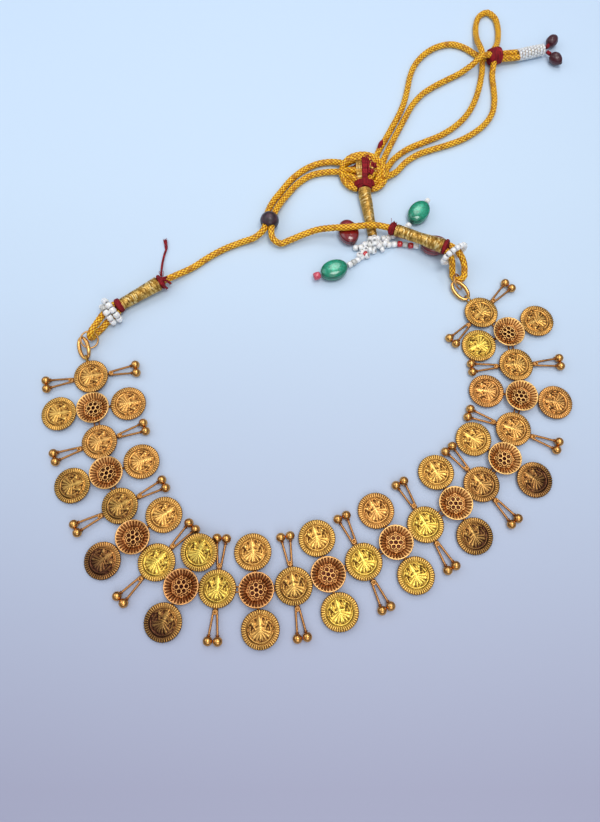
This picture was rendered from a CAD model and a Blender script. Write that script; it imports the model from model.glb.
"""Looks of the coin choker necklace with its adjustable cord. All lengths in the tables are millimetres."""
from math import atan2, cos, degrees, exp, hypot, pi, radians, sin

import bpy
import numpy as np
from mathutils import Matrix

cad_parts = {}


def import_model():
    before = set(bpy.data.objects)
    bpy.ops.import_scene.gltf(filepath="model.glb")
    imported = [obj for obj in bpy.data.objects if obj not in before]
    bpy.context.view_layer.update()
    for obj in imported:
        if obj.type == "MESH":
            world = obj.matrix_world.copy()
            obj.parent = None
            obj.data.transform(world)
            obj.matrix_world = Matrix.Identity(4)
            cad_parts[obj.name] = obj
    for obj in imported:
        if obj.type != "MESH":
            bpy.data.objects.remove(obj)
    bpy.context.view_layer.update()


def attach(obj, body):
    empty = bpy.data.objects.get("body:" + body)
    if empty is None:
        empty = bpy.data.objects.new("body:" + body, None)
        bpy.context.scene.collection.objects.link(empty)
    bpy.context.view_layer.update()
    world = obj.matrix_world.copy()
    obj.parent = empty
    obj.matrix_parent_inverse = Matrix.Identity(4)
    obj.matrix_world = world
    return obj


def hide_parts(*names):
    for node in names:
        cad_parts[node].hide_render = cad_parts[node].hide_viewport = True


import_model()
MM = 0.001

# Camera: the photograph's angle, height and lens
LENS, SENSOR = 28.03, 36
CAMERA_AT, CAMERA_TILT = (-8.83, -14.0, 208.4), 18.2
NEAREST, FARTHEST = 0.01, 20
scene = bpy.context.scene
camera_data = bpy.data.cameras.new("camera")
camera_data.lens = LENS
camera_data.sensor_width = SENSOR
camera_data.sensor_fit = "AUTO"
camera_data.clip_start = NEAREST
camera_data.clip_end = FARTHEST
camera = bpy.data.objects.new("camera", camera_data)
camera.location = [c * MM for c in CAMERA_AT]
camera.rotation_euler = (radians(CAMERA_TILT), 0, 0)
scene.collection.objects.link(camera)
scene.camera = camera


# Mesh helpers
class Shape:
    """Collects vertices in millimetres, faces and point values, and makes one object of them."""

    def __init__(self):
        self.verts = []
        self.faces = []
        self.mats = []
        self.values = {"shade": [], "tone": [], "fleck": []}
        self.count = 0

    def add(self, verts, faces, shade=0.5, tone=0.5, fleck=0.0, mat=0, move=None):
        verts = np.asarray(verts, float).reshape(-1, 3)
        n = len(verts)
        if move is not None:
            verts = transform(verts, move)
        self.verts.append(verts)
        for f in faces:
            self.faces.append(np.asarray(f, int) + self.count)
            self.mats.append(np.full(len(f), mat))
        for key, value in (("shade", shade), ("tone", tone), ("fleck", fleck)):
            self.values[key].append(np.broadcast_to(np.asarray(value, float).reshape(-1), (n,)).copy())
        self.count += n

    def make(self, name, materials, slot, *nodes):
        verts = np.concatenate(self.verts) * MM
        sizes = np.concatenate([np.full(len(f), f.shape[1]) for f in self.faces])
        loops = np.concatenate([f.reshape(-1) for f in self.faces])
        starts = np.concatenate([[0], np.cumsum(sizes)[:-1]])
        mesh = bpy.data.meshes.new(name)
        mesh.vertices.add(len(verts))
        mesh.vertices.foreach_set("co", verts.reshape(-1))
        mesh.loops.add(len(loops))
        mesh.loops.foreach_set("vertex_index", loops)
        mesh.polygons.add(len(sizes))
        mesh.polygons.foreach_set("loop_start", starts)
        for item in materials:
            mesh.materials.append(item)
        mesh.update(calc_edges=True)
        mesh.polygons.foreach_set("material_index", np.concatenate(self.mats).astype(np.int32))
        mesh.polygons.foreach_set("use_smooth", np.ones(len(sizes), bool))
        for key, rows in self.values.items():
            layer = mesh.attributes.new(key, "FLOAT", "POINT")
            layer.data.foreach_set("value", np.concatenate(rows))
        mesh.validate()
        obj = bpy.data.objects.new(name, mesh)
        scene.collection.objects.link(obj)
        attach(obj, "root")
        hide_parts(*nodes)
        return obj


def shift(x, y, z=0.0):
    m = np.eye(4)
    m[:3, 3] = (x, y, z)
    return m


def turn_x(a):
    c, s = cos(radians(a)), sin(radians(a))
    return np.array([[1, 0, 0, 0], [0, c, -s, 0], [0, s, c, 0], [0, 0, 0, 1.0]])


def turn_y(a):
    c, s = cos(radians(a)), sin(radians(a))
    return np.array([[c, 0, s, 0], [0, 1, 0, 0], [-s, 0, c, 0], [0, 0, 0, 1.0]])


def turn_z(a):
    c, s = cos(radians(a)), sin(radians(a))
    return np.array([[c, -s, 0, 0], [s, c, 0, 0], [0, 0, 1, 0], [0, 0, 0, 1.0]])


def vec(*values):
    return np.array(values, float)


def unit(v):
    v = np.asarray(v, float)
    return v / np.linalg.norm(v)


def circle(n):
    """n angles evenly round a full turn."""
    return np.arange(n) / n * 2 * pi


def direction(heading):
    """The level unit vector of a heading in degrees."""
    a = radians(heading)
    return vec(cos(a), sin(a), 0)


def at(place, heading):
    """The frame at a place, turned to a heading."""
    return shift(*place) @ turn_z(heading)


def polar(r, a, z):
    """Points at radius r, angle a and height z."""
    return np.stack(np.broadcast_arrays(r * np.cos(a), r * np.sin(a), z), -1)


def shares(path):
    """The share of the way at each point of the path."""
    return np.linspace(0, 1, len(path))


def transform(points, move):
    p = np.asarray(points, float)
    return p @ move[:3, :3].T + move[:3, 3]


def grid_faces(rows, cols, closed=False):
    """Quads of a grid of rows by cols points, each row joined to a ring; closed joins the rows too."""
    i = np.arange(rows if closed else rows - 1)[:, None]
    j = np.arange(cols)[None, :]
    i2 = (i + 1) % rows
    j2 = (j + 1) % cols
    a, b, c, d = np.broadcast_arrays(i * cols + j, i * cols + j2, i2 * cols + j2, i2 * cols + j)
    return np.stack([a, b, c, d], -1).reshape(-1, 4)


def run_of(path):
    """Length along the path up to each of its points."""
    return np.concatenate([[0], np.cumsum(np.linalg.norm(np.diff(path, axis=0), axis=1))])


def curve(points, step, closed=False):
    """A smooth curve through the points, one point about every step."""
    p = np.array(points, float)
    if closed:
        p = np.concatenate([p[-2:], p, p[:3]])
    h = np.linalg.norm(np.diff(p, axis=0), axis=1)
    slope = np.diff(p, axis=0) / h[:, None]
    tan = np.empty_like(p)
    tan[0], tan[-1] = slope[0], slope[-1]
    tan[1:-1] = (slope[1:] * h[:-1, None] + slope[:-1] * h[1:, None]) / (h[1:] + h[:-1])[:, None]
    out = []
    spans = range(2, len(p) - 3) if closed else range(len(p) - 1)
    for i in spans:
        n = max(4, int(h[i] / step * 3))
        t = (np.arange(n) / n)[:, None]
        out.append(
            (2 * t**3 - 3 * t**2 + 1) * p[i] + (t**3 - 2 * t**2 + t) * h[i] * tan[i]
            + (3 * t**2 - 2 * t**3) * p[i + 1] + (t**3 - t**2) * h[i] * tan[i + 1]
        )
    fine = np.concatenate(out + [p[2:3] if closed else p[-1:]])
    run = run_of(fine)
    n = max(3, int(round(run[-1] / step)))
    at = np.linspace(0, run[-1], n + 1)
    even = np.stack([np.interp(at, run, fine[:, k]) for k in range(3)], 1)
    return even[:-1] if closed else even


def length_of(path):
    return float(np.linalg.norm(np.diff(path, axis=0), axis=1).sum())


UP = (0, 0, 1)
# Taken in place of UP where a path starts nearly upright, and the cosine that counts as nearly
SPARE_UP, UPRIGHT = (0.3, 0.9, 0.1), 0.93


def frames_of(path, closed, up):
    """Tangents and two side vectors that turn as little as they can along the path."""
    if closed:
        t = np.roll(path, -1, 0) - np.roll(path, 1, 0)
    else:
        t = np.gradient(path, axis=0)
    t /= np.linalg.norm(t, axis=1)[:, None]
    side = np.array(up, float)
    if abs(np.dot(side, t[0])) > UPRIGHT:
        side = np.array(SPARE_UP)
    u = np.empty_like(path)
    for i in range(len(path)):
        side = side - np.dot(side, t[i]) * t[i]
        side = side / np.linalg.norm(side)
        u[i] = side
    if closed:
        last = u[-1] - np.dot(u[-1], t[0]) * t[0]
        last /= np.linalg.norm(last)
        w = atan2(np.dot(np.cross(last, u[0]), t[0]), np.dot(last, u[0]))
        a = w * np.arange(len(path)) / len(path)
        v = np.cross(t, u)
        u = u * np.cos(a)[:, None] + v * np.sin(a)[:, None]
    return t, u, np.cross(t, u)


# How far a tube's capped end stands out, as a share of its radius
CAP = 0.35


def tube(shape, path, radius, sides, closed=False, pattern=None, up=UP, shade=0.5, **more):
    """A tube. radius is a number or one for each point; pattern gives height, shade and fleck."""
    path = np.asarray(path, float)
    n = len(path)
    t, u, v = frames_of(path, closed, up)
    r = np.broadcast_to(np.asarray(radius, float).reshape(-1, 1), (n, 1))
    around = (np.arange(sides) / sides)[None, :]
    fleck = 0.0
    rr = np.repeat(r, sides, 1)
    if pattern is not None:
        high, shade, fleck = pattern(run_of(path)[:, None], around)
        rr = rr + high
        shade = shade.reshape(-1)
        fleck = fleck.reshape(-1)
    a = around * 2 * pi
    out = np.cos(a)[..., None] * u[:, None, :] + np.sin(a)[..., None] * v[:, None, :]
    verts = (path[:, None, :] + rr[..., None] * out).reshape(-1, 3)
    faces = [grid_faces(n, sides, closed)]
    if not closed:
        for end, sign in ((0, -1), (n - 1, 1)):
            tip = path[end] + sign * t[end] * CAP * float(r[end, 0])
            base = len(verts)
            verts = np.concatenate([verts, tip[None]])
            if pattern is not None:
                shade = np.append(shade, shade[0])
                fleck = np.append(fleck, 0.0)
            j = np.arange(sides)
            k = (j + 1) % sides
            tri = np.stack([end * sides + k, end * sides + j, np.full(sides, base)], 1)
            faces.append(tri if end == 0 else tri[:, ::-1])
    shape.add(verts, faces, shade=shade, fleck=fleck, **more)


def ball(shape, centre, size, nu, nv, move=None, bend=None, **more):
    """An ellipsoid with half sizes size; bend may change its unit points."""
    phi = (np.arange(nv + 1) / nv * pi)[:, None]
    th = circle(nu)[None, :]
    p = np.stack(np.broadcast_arrays(np.sin(phi) * np.cos(th), np.sin(phi) * np.sin(th), np.cos(phi)), -1)
    p = p.reshape(-1, 3)
    if bend is not None:
        p = bend(p)
    p = p * np.asarray(size, float) + np.asarray(centre, float)
    shape.add(p, [grid_faces(nv + 1, nu)[:, ::-1]], move=move, **more)


def hashed(a, b, c):
    """A repeatable number from 0 to 1 for each three whole numbers."""
    x = np.sin(a * 127.1 + b * 311.7 + c * 74.7) * 43758.5453
    return x - np.floor(x)


# The braid: stitches round the cord, its pitch and how far the stitches stand out
STITCHES, BRAID_PITCH, BRAID_LIFT = 6, 1.6, 0.18


def braid(run, around):
    """Braided cord: crossing stitches, darker between them, a few of them red."""
    p = STITCHES * around + run / BRAID_PITCH
    q = STITCHES * around - run / BRAID_PITCH
    a, b = p - np.floor(p), q - np.floor(q)
    cell = np.floor(p) + np.floor(q)
    over = (cell % 2) < 1
    across = np.where(over, a, b)
    along = np.where(over, b, a)
    high = np.sin(pi * across) ** 0.9 * (0.35 + 0.65 * np.sin(pi * along))
    key = hashed(np.floor(p) % (2 * STITCHES), np.floor(q) + 0 * p, 1.0)
    shade = np.clip(2.05 * high - 0.52 + 0.35 * (key - 0.5), 0, 1)
    fleck = np.where(key > 0.86, 0.7, 0.0) * (high > 0.2)
    return BRAID_LIFT * (high - 0.6), shade, fleck


def wound(pitch, lift, starts=1, rough=0.5):
    """Thread wound round: one helical ridge for each turn, with strands that catch the light."""
    def pattern(run, around):
        w = run / pitch + starts * around
        f = w - np.floor(w)
        high = np.sin(pi * f) ** 0.8
        key = hashed(np.floor(w), np.floor(around * 11 + np.floor(w) * 0.37) % 11, 2.0)
        shade = np.clip(0.05 + 0.7 * high + rough * (key - 0.45), 0, 1)
        return lift * (high - 0.5), shade, np.where(key > 0.9, 1.0, 0.0) * high
    return pattern


# Materials
def feed(tree, node, inputs):
    """Gives inputs of a node a value each, or the output that feeds it."""
    for key, item in inputs.items():
        if isinstance(item, bpy.types.NodeSocket):
            tree.links.new(item, node.inputs[key])
        else:
            node.inputs[key].default_value = item
    return node


def add_node(tree, kind, inputs):
    return feed(tree, tree.nodes.new("ShaderNode" + kind), inputs)


def ramp(tree, source, stops):
    """Colours of a ramp; stops are its places and colours, from first to last."""
    node = add_node(tree, "ValToRGB", {0: source})
    bar = node.color_ramp.elements
    for item, (place, colour) in ((bar[0], stops[0]), (bar[1], stops[-1])):
        item.position = place
        item.color = (*colour, 1)
    for place, colour in stops[1:-1]:
        bar.new(place).color = (*colour, 1)
    return node.outputs[0]


def coordinate(tree, kind, i):
    """One of the three coordinates of a place or direction."""
    source = tree.nodes.new("ShaderNodeTexCoord").outputs[kind]
    return add_node(tree, "SeparateXYZ", {0: source}).outputs[i]


NOISE_LOW, NOISE_HIGH, NOISE_ROUGH = 0.3, 0.7, 0.6
BUMP_DEPTH, COAT_ROUGH = 0.0001, 0.06
SOFT_DEPTHS = (0.002, 0.0015, 0.001)


def material(name, low, middle, high, rough, grain, mottle, bump, bump_size, metallic=0.0, tint=None, fleck=None,
             coat=0.0, spec=0.5, see_through=0.0, soft=0.0, stretch=(1, 1, 1)):
    """Colour from the point values shade, tone and fleck, broken up by noise that also drives roughness and bump."""
    m = bpy.data.materials.new(name)
    m.use_nodes = True
    tree, nodes = m.node_tree, m.node_tree.nodes
    nodes.clear()
    place = nodes.new("ShaderNodeTexCoord").outputs["Object"]
    place = add_node(tree, "Mapping", {0: place, "Scale": stretch}).outputs[0]

    def noise(scale, detail):
        return add_node(tree, "TexNoise", {
            "Vector": place, "Scale": scale, "Detail": detail, "Roughness": NOISE_ROUGH}).outputs[0]

    def value_of(key):
        node = nodes.new("ShaderNodeAttribute")
        node.attribute_name = key
        return node.outputs["Fac"]

    def mixed(kind, factor, a, b):
        node = nodes.new("ShaderNodeMix")
        node.data_type = "RGBA"
        node.blend_type = kind
        return feed(tree, node, {0: factor, 6: a, 7: b}).outputs[2]

    colour = ramp(tree, value_of("shade"), ((0, low), (0.5, middle), (1, high)))
    if tint is not None:
        colour = mixed("MULTIPLY", value_of("tone"), colour, (*tint, 1))
    if fleck is not None:
        colour = mixed("MIX", value_of("fleck"), colour, (*fleck, 1))
    large = noise(grain, 3)
    dark = (1 - mottle, 1 - mottle * 1.15, 1 - mottle * 1.3)
    light = (1 + mottle * 0.4, 1 + mottle * 0.4, 1 + mottle * 0.4)
    patch = ramp(tree, large, ((NOISE_LOW, dark), (NOISE_HIGH, light)))
    span = add_node(tree, "MapRange", {
        0: large, "From Min": NOISE_LOW, "From Max": NOISE_HIGH, "To Min": rough[0], "To Max": rough[1]})
    dent = add_node(tree, "Bump", {
        "Height": noise(bump_size, 4), "Strength": bump, "Distance": BUMP_DEPTH})
    shader = add_node(tree, "BsdfPrincipled", {
        "Base Color": mixed("MULTIPLY", 1.0, colour, patch), "Roughness": span.outputs[0], "Normal": dent.outputs[0],
        "Metallic": metallic, "Coat Weight": coat, "Coat Roughness": COAT_ROUGH, "Specular IOR Level": spec,
        "Transmission Weight": see_through, "Subsurface Weight": soft, "Subsurface Radius": SOFT_DEPTHS,
        "Subsurface Scale": 1.0})
    add_node(tree, "OutputMaterial", {0: shader.outputs[0]})
    return m


# Each: name, low, middle and high colour, least and most roughness, grain, mottle, bump, its size, what else differs
GOLD = material(
    "gold", (0.075, 0.026, 0.009), (0.5, 0.305, 0.043), (0.89, 0.715, 0.13), (0.27, 0.44), 420, 0.28, 0.3, 3800,
    metallic=1, tint=(0.86, 0.38, 1.2), fleck=(0.048, 0.016, 0.013))
POLISHED = material(
    "polished_gold", (0.12, 0.05, 0.015), (0.8, 0.5, 0.15), (1, 0.74, 0.3), (0.18, 0.3), 300, 0.15, 0.03, 1500,
    metallic=1, tint=(0.8, 0.56, 0.5))
WIRE = material(
    "wire_gold", (0.1, 0.04, 0.016), (0.62, 0.34, 0.12), (0.98, 0.66, 0.26), (0.34, 0.46), 300, 0.25, 0.05, 1500,
    metallic=1, tint=(0.72, 0.48, 0.42))
ANTIQUE = material(
    "antique_gold", (0.04, 0.01, 0.008), (0.84, 0.37, 0.1), (1, 0.645, 0.235), (0.28, 0.48), 520, 0.35, 0.3, 3600,
    metallic=1, tint=(0.75, 0.6, 0.66))
CORD = material(
    "braided_cord", (0.15, 0.032, 0.001), (0.92, 0.37, 0.004), (1, 0.72, 0.06), (0.34, 0.5), 600, 0.2, 0.5, 6000,
    fleck=(0.34, 0.09, 0.008), spec=0.24)
ZARI = material(
    "zari_thread", (0.11, 0.045, 0.006), (0.55, 0.29, 0.04), (1, 0.7, 0.22), (0.25, 0.5), 900, 0.35, 0.6, 7000,
    metallic=0.8, fleck=(1, 0.84, 0.42))
RED_THREAD = material(
    "red_thread", (0.05, 0.003, 0.005), (0.22, 0.008, 0.014), (0.4, 0.016, 0.024), (0.55, 0.8), 1200, 0.3, 0.8,
    8000, fleck=(0.5, 0.03, 0.04), spec=0.2)
WOOD = material(
    "wood_bead", (0.012, 0.005, 0.008), (0.044, 0.018, 0.028), (0.095, 0.042, 0.06), (0.3, 0.5), 420, 0.4, 0.4,
    1800, coat=0.12, stretch=(0.3, 1, 1))
WHITE = material(
    "white_bead", (0.36, 0.36, 0.38), (0.84, 0.84, 0.84), (1, 1, 0.99), (0.1, 0.25), 900, 0.14, 0.12, 4000,
    tint=(0.9, 0.9, 0.88), coat=0.6, soft=0.15)
CLEAR = material(
    "clear_bead", (0.3, 0.3, 0.27), (0.6, 0.59, 0.54), (0.9, 0.9, 0.88), (0.05, 0.15), 900, 0.15, 0.1, 4000,
    coat=0.8, see_through=0.35)
RED_BEAD = material(
    "red_bead", (0.1, 0.001, 0.003), (0.42, 0.004, 0.01), (0.7, 0.015, 0.025), (0.08, 0.2), 900, 0.2, 0.1, 4000,
    coat=0.7)
PINK = material(
    "pink_bead", (0.25, 0.01, 0.03), (0.55, 0.03, 0.07), (0.85, 0.16, 0.22), (0.12, 0.25), 800, 0.2, 0.15, 4000,
    coat=0.6, soft=0.1)
GREEN = material(
    "green_stone", (0, 0.06, 0.03), (0, 0.3, 0.17), (0.13, 0.82, 0.52), (0.08, 0.26), 1100, 0.4, 0.35, 3200,
    coat=0.6, soft=0.15)
RED_STONE = material(
    "red_stone", (0.035, 0.001, 0.003), (0.24, 0.005, 0.009), (0.66, 0.035, 0.035), (0.08, 0.22), 700, 0.3, 0.12,
    2200, coat=0.8)
MAROON = material(
    "maroon_bead", (0.014, 0.002, 0.004), (0.065, 0.008, 0.014), (0.18, 0.025, 0.04), (0.25, 0.45), 700, 0.35, 0.3,
    2500, coat=0.25)

# Cords: the routes of part.scad
BRAID_R, BRAID_STEP, BRAID_SIDES, LOOP_BRAID_R = 1.17, 0.24, 30, 1.14
LEFT_CORD = [
    (-58.7, 102.6, 3.5), (-53.6, 106.1, 2.2), (-48.6, 109.3, 1.4), (-42.4, 114, 1.3), (-36.6, 117.6, 1.3),
    (-30.6, 120.2, 1.5), (-25.4, 121.8, 2.5), (-22.2, 124.6, 3.5), (-21.5, 128.4, 3.5), (-20.9, 132, 3.5),
    (-19.2, 137, 2.5), (-16, 142.6, 1.6), (-12, 148.4, 1.3), (-6.6, 153.2, 1.3), (0, 156, 1.4), (5, 156, 1.8),
    (8.8, 154.8, 2.4)]
RIGHT_CORD = [
    (24.6, 124.4, 4.5), (19.6, 125, 5.2), (14.4, 124.4, 5.9), (9.2, 123.5, 6.3), (3.4, 123.8, 5.4),
    (-2.4, 123.9, 4), (-8, 122.4, 2.9), (-12.6, 120.6, 2.3), (-16.2, 119.2, 2.3), (-18.8, 120.8, 2.9),
    (-19.5, 124.3, 3.5), (-18.9, 128, 3.5), (-18.3, 131.6, 3.5), (-16.6, 136, 2.5), (-13.4, 141.4, 1.6),
    (-9.6, 146.4, 1.3), (-4.4, 150.2, 1.3), (1.4, 151.6, 1.4), (6.9, 151.2, 2.2)]
STRAND_A = [
    (20.3, 156, 2.4), (22, 161.4, 1.5), (25, 167.4, 1.3), (28, 173.4, 1.3), (31, 179.6, 1.3), (33.4, 186, 1.3),
    (35, 192.4, 1.3), (36.4, 198.8, 1.3), (38.8, 205, 1.3), (43, 210.6, 1.3), (48.6, 214.6, 1.3), (55, 216, 1.3),
    (60.4, 213.8, 1.3), (64.4, 210.4, 1.3), (66.8, 208.8, 1.5), (69, 207.4, 2.1)]
STRAND_B = [
    (22.9, 154.6, 2.3), (25, 160.2, 1.5), (27.6, 166, 1.3), (30.6, 172.2, 1.3), (33.6, 178.4, 1.3),
    (36.6, 184.2, 1.3), (40.6, 189.4, 1.3), (45.8, 193.6, 1.3), (51.6, 197.2, 1.3), (57.2, 200.4, 1.6),
    (61.6, 202.6, 3.5), (65.4, 204.8, 5.9), (69, 206.4, 5.1)]
STRAND_C = [
    (24.6, 152.2, 2.6), (28.2, 158, 1.5), (33.6, 162.6, 1.3), (40, 165.8, 1.3), (46.6, 169, 1.3),
    (52.8, 173.4, 1.3), (57.8, 178.8, 1.3), (61.4, 185, 1.3), (63.8, 191.4, 1.3), (65.4, 197.4, 1.3),
    (66.3, 202, 1.5), (66.3, 205.2, 2.4), (66, 208.9, 4.4), (65.6, 212, 4), (65.3, 216.4, 2.6), (65.4, 221.6, 1.4),
    (66, 227, 1.3), (68, 231.8, 1.3), (71.2, 233.6, 1.3), (74, 231, 1.3), (75, 225.8, 1.3), (74.6, 219.8, 1.4),
    (73, 214, 2.6), (71, 210.3, 3.6)]
STRAND_D = [
    (71, 204.8, 3.1), (70.2, 199.4, 1.6), (70.2, 193, 1.3), (70, 187, 1.3), (68.8, 181, 1.3), (65.6, 175.4, 1.3),
    (60.8, 170.8, 1.3), (55, 167, 1.3), (49, 164.4, 1.3), (42.8, 162.2, 1.3), (36.8, 159.6, 1.3),
    (32, 155.8, 1.4), (28.6, 151.6, 1.7), (24.4, 148.5, 2.4)]


def braided(shape, points, closed=False, radius=BRAID_R):
    path = curve(points, BRAID_STEP, closed)
    tube(shape, path, radius, BRAID_SIDES, closed, braid)
    return path


def free_cord(name, node, points):
    shape = Shape()
    path = braided(shape, points)
    cord = shape.make(name, [CORD], "cord", node)


free_cord("left_cord", "cord_left", LEFT_CORD)
free_cord("right_cord", "cord_right", RIGHT_CORD)
free_cord("loop_cord_a", "strand_a", STRAND_A)
free_cord("loop_cord_b", "strand_b", STRAND_B)
free_cord("loop_cord_c", "strand_c", STRAND_C)
free_cord("loop_cord_d", "strand_d", STRAND_D)

# The row: values and placing of part.scad
COIN_R, COIN_T, COIN_LIFT, FIELD_R, FLUTES = 6.0, 0.9, 1.35, 4.45, 48
CUP_R, RIBS = 5.55, 30
# Each line: heading from the unit before, gap to it, heading of the outer side, droop of the outer coin (or of the
# only one) and droop of the inner coin
LEFT_ROW = [
    (-162, -0.2, 100, 1, 0), (-174, 0.1, 97, 1, 3), (178, 0.7, 87, -2, 0), (177, -0.4, 64, 4, -11),
    (138, -0.4, 47, -2, 0), (136, -0.4, 38, 5, 3), (117, -0.2, 28, 2, 0), (116, 0.4, 20, 3, 2),
    (108, -0.3, 20, 2, 0), (105, 0.7, 9, 2, 3), (100, 0.3, 11, 2, 0)]
MIDDLE_UNIT = (0, 0, 107, 0, 2)
RIGHT_ROW = [
    (19, 0.4, 115, -1, 0), (30, 0.4, 120, 1, 3), (30, -0.2, 119, -2, 0), (34, 0.6, 118, 5, 2),
    (35, -0.5, 129, 1, 0), (46, 0.3, 144, 5, 2), (68, -0.4, 158, 1, 0), (72, 0.7, 170, 3, 2),
    (92, 0.2, 184, 2, 0), (97, 0.7, 204, 2, 3), (138, 0.4, 225, 2, 0)]
TOUCH = COIN_R + CUP_R
SIDE = len(LEFT_ROW)
LAST = 2 * SIDE
END_HEADINGS = {0: 108, LAST: 129}
# Coins by unit and place in it: those with fresh lemon plating, and the tarnished ones with how much and towards
# which side
OUTER, OWN, INNER = 0, 1, 2
LEMON = {(6, 1), (7, 2), (8, 1), (11, 0), (12, 1), (13, 0), (14, 1), (21, 2)}
TARNISH = {(3, 0): (0.45, 200), (4, 1): (0.5, 240), (5, 0): (0.95, 225), (7, 0): (0.95, 225), (8, 1): (0.15, 180),
           (9, 0): (0.25, 240), (10, 1): (0.3, 250), (15, 0): (0.8, -30), (16, 1): (0.45, -45), (17, 0): (0.85, -20)}


def place_in(table, i):
    p = np.zeros(2)
    for heading, gap, *_ in table[:i + 1]:
        p = p + (TOUCH + gap) * direction(heading)[:2]
    return p


LINES = LEFT_ROW[::-1] + [MIDDLE_UNIT] + RIGHT_ROW
PLACES = [place_in(LEFT_ROW, SIDE - 1 - k) for k in range(SIDE)] + [np.zeros(2)]
PLACES += [place_in(RIGHT_ROW, k) for k in range(SIDE)]


def heading_to_next(k):
    d = PLACES[k + 1] - PLACES[k]
    return degrees(atan2(d[1], d[0]))


def tone_of(k, place):
    if (k, place) in LEMON:
        return 0.12
    return 0.42 + 0.22 * float(hashed(k, place, 3.0)) - 0.11 * exp(-((k - 10) / 4.5) ** 2)


def dome(d, r):
    return np.sqrt(np.clip(1 - (d / r) ** 2, 0, 1))


def segment(x, y, x0, y0, x1, y1):
    dx, dy = x1 - x0, y1 - y0
    f = np.clip(((x - x0) * dx + (y - y0) * dy) / (dx * dx + dy * dy + 1e-9), 0, 1)
    return np.hypot(x - x0 - f * dx, y - y0 - f * dy), f


# Strokes of the seated figure, in parts of the field's radius: from, to, half width at each end, height.
# Each stroke is mirrored left to right.
STROKES = [
    (0, 0.44, 0, 0.94, 0.17, 0.03, 0.9), (0, 0.3, 0, 0.3, 0.12, 0.12, 1.0),
    (0.22, 0.3, 0.14, 0.72, 0.06, 0.03, 0.7),
    (0.34, 0.2, 0.31, 0.54, 0.06, 0.04, 0.65), (0, 0.12, 0, -0.1, 0.15, 0.1, 0.95),
    (0.13, 0.12, 0.34, 0.04, 0.07, 0.06, 0.85), (0.34, 0.04, 0.46, 0.3, 0.06, 0.04, 0.8),
    (0.48, 0.42, 0.48, 0.42, 0.11, 0.11, 1.0), (0.48, 0.42, 0.62, 0.58, 0.05, 0.03, 0.75),
    (0.48, 0.42, 0.38, 0.68, 0.05, 0.03, 0.75), (0.14, -0.02, 0.58, -0.24, 0.05, 0.09, 0.8),
    (0.1, -0.12, 0.5, -0.46, 0.05, 0.1, 0.95), (0.07, -0.18, 0.3, -0.62, 0.05, 0.08, 0.85),
    (0.0, -0.18, 0.08, -0.66, 0.06, 0.07, 0.9), (0.66, 0.24, 0.72, -0.06, 0.05, 0.07, 0.75),
    (0.72, -0.1, 0.64, -0.36, 0.06, 0.05, 0.75), (0.5, 0.06, 0.54, -0.06, 0.04, 0.05, 0.7),
    (0.76, 0.38, 0.66, 0.52, 0.05, 0.04, 0.7), (0.3, 0.8, 0.44, 0.72, 0.05, 0.04, 0.65)]
# The border round the figure: its radius and half width, in parts of the field's radius
BORDER_R, BORDER_HALF = 0.86, 0.07


def relief(x, y):
    """Height share of the cast figure at points of the field."""
    high = np.zeros_like(x)
    for x0, y0, x1, y1, r0, r1, h in STROKES:
        d, f = segment(np.abs(x), y, x0, y0, x1, y1)
        high = np.maximum(high, h * dome(d, 1.38 * (r0 + (r1 - r0) * f)))
    rad, ang = np.hypot(x, y), np.arctan2(y, x)
    below = np.clip(-2.5 * np.sin(ang), 0, 1)
    border = dome(rad - BORDER_R, BORDER_HALF)
    high = np.maximum(high, 0.8 * below * border)
    high = np.maximum(high, 0.7 * (1 - below) * (0.6 + 0.4 * np.cos(ang * 14)) * border)
    curl = np.sin(15 * x + 2.2 * np.sin(9 * y + 1)) * np.sin(13 * y + 2.0 * np.sin(11 * x))
    high = np.maximum(high, 0.42 * np.clip(1.7 * np.abs(curl) - 0.42, 0, 1) * (rad < 0.97))
    fold = 0.5 + 0.5 * np.cos(y * 46 + 22 * np.abs(x))
    return high * (0.9 + 0.1 * fold)


FIELD_RINGS, FIELD_TURNS = 27, 112
# The field's depth below the coin's face, the figure's height and the field's rise towards the rim
FIELD_DEPTH, RELIEF_H, FIELD_RISE = 0.24, 0.5, 0.03
# Radius, low height, extra height on a flute, shade of groove, shade of flute
COIN_PROFILE = [
    (4.38, 0.67, 0.0, 0.7, 0.7), (4.5, 0.68, 0.14, 0.5, 0.8), (4.66, 0.62, 0.27, 0.15, 0.9),
    (5.0, 0.54, 0.36, 0.05, 0.95), (5.5, 0.52, 0.38, 0.05, 1.0), (5.82, 0.5, 0.38, 0.06, 0.95),
    (5.95, 0.44, 0.28, 0.1, 0.75), (5.99, 0.3, 0.08, 0.2, 0.45), (5.92, 0.1, 0.0, 0.2, 0.25),
    (5.8, 0.0, 0.0, 0.2, 0.2)]
# How deep the flutes cut into the edge, and from which radius
EDGE_CUT, CUT_FROM = 0.12, 5.7


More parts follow.
